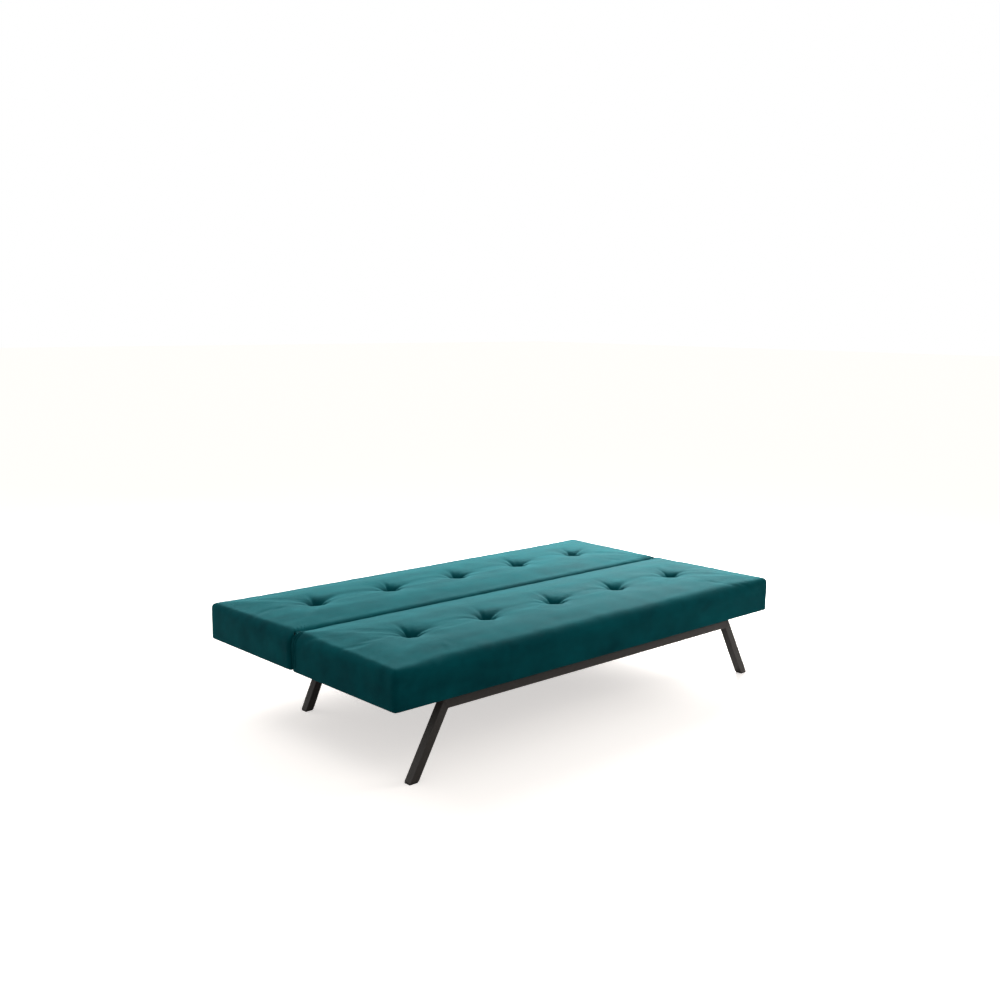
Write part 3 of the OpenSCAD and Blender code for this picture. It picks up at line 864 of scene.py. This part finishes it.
# ---- Hinge caps ----
# The seat's velvet is stuffed out into a small cap over the eye of each hinge, so that no steel shows
# from the front. Slots in the back pass over the caps as it folds, and a notch in each cap lets the
# arm of the back bracket through.
caps = mesh_piece("seat_hinge_caps", slot_disc(cap_inner, cap_outer, cap_radius, 92, 60), velvet)
bm = bmesh.new()
bm.from_mesh(caps.data)
sharp = [e for e in bm.edges if e.calc_face_angle(0) > math.radians(40)]
bmesh.ops.bevel(bm, geom=sharp, offset=0.0012, segments=3, affect="EDGES", profile=0.5, material=-1)
bm.to_mesh(caps.data)
bm.free()
eye_slots(caps)
cut_away(caps, slot_disc(arm_inner - hinge_play, arm_outer + hinge_play, cap_radius + 0.002, 60, 60))
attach(caps, "base")


# ---- Corner tucks ----
# Where the velvet turns round the ends of the junction it is gathered in narrow folds: three run over
# each rear corner of the seat and down its end, and a few short ones fan out on the back.
path_step = 0.0008


def ridge(bm, surface, guide, width, height):
    """Lays a low rounded fold on a surface under the points of a guide, tapered at both ends."""
    path = []
    for point in guide:
        place, normal = surface.find_nearest(point)[:2]
        if not path or (place - path[-1][0]).length > path_step:
            path.append((place, normal))
    before = None
    last = len(path) - 1
    for i, (place, normal) in enumerate(path):
        along = (path[min(i + 1, last)][0] - path[max(i - 1, 0)][0]).normalized()
        aside = along.cross(normal).normalized()
        up = aside.cross(along)
        size = 0.08 + 0.92 * math.sqrt(math.sin(math.pi * i / last))
        turned = Matrix((aside * width * size, up * height * size, along)).transposed().to_4x4()
        turned.translation = place
        if before is None:
            verts = bmesh.ops.create_circle(bm, segments=10, radius=1, matrix=turned)["verts"]
            edges = list({e for v in verts for e in v.link_edges})
            first = edges
        else:
            made = bmesh.ops.extrude_edge_only(bm, edges=edges)["geom"]
            verts = [g for g in made if isinstance(g, bmesh.types.BMVert)]
            edges = [g for g in made if isinstance(g, bmesh.types.BMEdge) and
                     g.verts[0] in verts and g.verts[1] in verts]
            bmesh.ops.transform(bm, matrix=turned @ before.inverted(), verts=verts)
        before = turned
    bmesh.ops.edgeloop_fill(bm, edges=first)
    bmesh.ops.edgeloop_fill(bm, edges=edges)


def guide_over(end, y, start_in, top, bottom):
    """Points above a cushion's end: inwards on top, over the edge, and down to a height."""
    above = 0.01
    start = Vector((end * (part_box("seat_cover")[1].x - start_in), y, top + above))
    corner = Vector((end * (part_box("seat_cover")[1].x + above), y, top + above))
    foot = Vector((corner.x, y, bottom))
    across = [start.lerp(corner, i / 14) for i in range(14)]
    down = [corner.lerp(foot, i / 26) for i in range(27)]
    return across + down


def surface_of(cushion):
    """The cushion's skin, to find the nearest place on it."""
    bm = bmesh.new()
    bm.from_mesh(cushion.data)
    found = BVHTree.FromBMesh(bm)
    bm.free()
    return found


seat_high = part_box("seat_cover")[1]
back_low, back_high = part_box("back_cover")
tuck_foot = 0.248
seat_skin = surface_of(bpy.data.objects["seat_cushion"])
back_skin = surface_of(bpy.data.objects["back_cushion"])
seat_tucks = bmesh.new()
back_tucks = bmesh.new()
for end in (-1, 1):
    for inset, start_in in ((0.007, 0.070), (0.015, 0.052), (0.025, 0.036)):
        guide = guide_over(end, seat_high.y - inset, start_in, seat_high.z, tuck_foot)
        ridge(seat_tucks, seat_skin, guide, 0.0024, 0.0028)
    for k in range(4):
        start = Vector((end * (back_high.x - 0.030 - 0.012 * k), back_low.y + 0.012, back_high.z))
        way = Vector((-end * (0.010 + 0.005 * k), 0.024 + 0.004 * k, 0.002))
        ridge(back_tucks, back_skin, [start + way * (i / 9) for i in range(10)], 0.0022, 0.0008)
for name, bm, body in (("seat", seat_tucks, "base"), ("back", back_tucks, "back")):
    bmesh.ops.recalc_face_normals(bm, faces=bm.faces)
    tucks = mesh_piece(name + "_corner_tucks", bm, velvet)
    for face in tucks.data.polygons:
        face.use_smooth = True
    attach(tucks, body)


# ---- Hinge sets, bolts and twine ----
# Stamped steel brackets in black enamel, zinc-plated rivets, pawls, springs and bolts, and the twine
# that draws the buttons down through the slats.
hinge_enamel = plain_finish("hinge_enamel", (0.018, 0.018, 0.019), (0.09, 0.085, 0.08), 0.5, 0.30,
                            gloss=0.6, cells=500, depth=0.00012)
zinc = plain_finish("zinc", (0.55, 0.56, 0.58), (0.36, 0.36, 0.36), 0.7, 0.28, metallic=1.0,
                    cells=800, depth=0.00008)
for name in node:
    if name.endswith(("bracket_left", "bracket_right")) or name in ("pawl_left", "pawl_right"):
        eased(name, 0.0005)
    if name in ("seat_mount_bolts", "seat_bracket_bolts", "back_bracket_bolts"):
        eased(name, 0.0005)
twine, tree, shader = new_material("twine")
place = tree.nodes.new("ShaderNodeTexCoord").outputs["Object"]
looks = use_group(tree, aged, Vector=place, Clean=(0.74, 0.70, 0.60, 1),
                  Scuffed=(0.45, 0.41, 0.33, 1), Scuff_share=0.5, Roughness=0.7)
dress(tree, shader, looks)
strands = add(tree, "ShaderNodeTexWave", Vector=place)
strands.bands_direction = "DIAGONAL"
strands.inputs["Scale"].default_value = 400
raised(tree, shader, strands.outputs["Fac"], 0.0004)


# ---- Lining ----
# Black spun-bonded lining closes each underside inside the hem, flat against the rails. It is bonded
# in a fine pattern of dots.
lining, tree, shader = new_material("lining")
place = tree.nodes.new("ShaderNodeTexCoord").outputs["Object"]
looks = use_group(tree, aged, Vector=place, Clean=(0.012, 0.012, 0.014, 1),
                  Scuffed=(0.04, 0.04, 0.042, 1), Scuff_share=0.4, Roughness=0.8)
dress(tree, shader, looks)
shader.inputs["Specular IOR Level"].default_value = 0.25
dots = add(tree, "ShaderNodeTexVoronoi", Vector=place)
dots.inputs["Scale"].default_value = 420
dots.inputs["Randomness"].default_value = 0.15
raised(tree, shader, dots.outputs["Distance"], 0.0005)


# ---- Hem staples ----
# Galvanised staples of 11 mm crown hold the turned hems to the rails, every sixty millimetres or so.
# They are shot in by hand, so that each sits a little askew.
staple_pitch = 0.06
staple_inset = 0.021
staple_size = Matrix.Diagonal((0.011, 0.0012, 0.0011, 1))
for name, body in (("seat", "base"), ("back", "back")):
    low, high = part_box(name + "_cover")
    draw = random.Random(name + " staples")
    bm = bmesh.new()
    left, near = low.x + staple_inset, low.y + staple_inset
    right, far = high.x - staple_inset, high.y - staple_inset
    long_run = round((right - left) / staple_pitch)
    short_run = round((far - near) / staple_pitch)
    places = []
    for i in range(long_run):
        x = left + (i + 0.5) * (right - left) / long_run
        places += [(x, near, 0), (x, far, 0)]
    for i in range(short_run):
        y = near + (i + 0.5) * (far - near) / short_run
        places += [(left, y, 90), (right, y, 90)]
    for x, y, degrees in places:
        aside = Matrix.Translation((x, y + draw.uniform(-0.002, 0.002), low.z))
        turned = Matrix.Rotation(math.radians(degrees + draw.uniform(-9, 9)), 4, "Z")
        bmesh.ops.create_cube(bm, size=1, matrix=aside @ turned @ staple_size)
    bmesh.ops.bevel(bm, geom=bm.edges[:], offset=0.00025, segments=1, affect="EDGES", profile=0.5,
                    material=-1)
    staples = mesh_piece(name + "_staples", bm, zinc)
    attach(staples, body)


# ---- Finishes of the carried-over pieces ----
# Every carried-over piece takes the finish of its slot in the record. Pine has its grain along the
# piece, so end rails and ribs take the pine whose grain runs from front to back.
finish_of = {
    "velvet": velvet, "powder_coated_steel": powder_coat, "black_hinge_steel": hinge_enamel,
    "zinc_plated_steel": zinc, "black_plastic": glide_plastic, "black_rubber": buffer_rubber,
    "plywood": birch, "foam": velvet, "black_lining": lining, "twine": twine,
}
for row in frame["record"]["subparts"]:
    name, slot_name = row["node"], row["material_slot"]
    material = finish_of.get(slot_name)
    if slot_name == "pine":
        material = pine_cross if "_end_" in name or "_rib_" in name else pine_long
    node[name].data.materials.clear()
    node[name].data.materials.append(material)
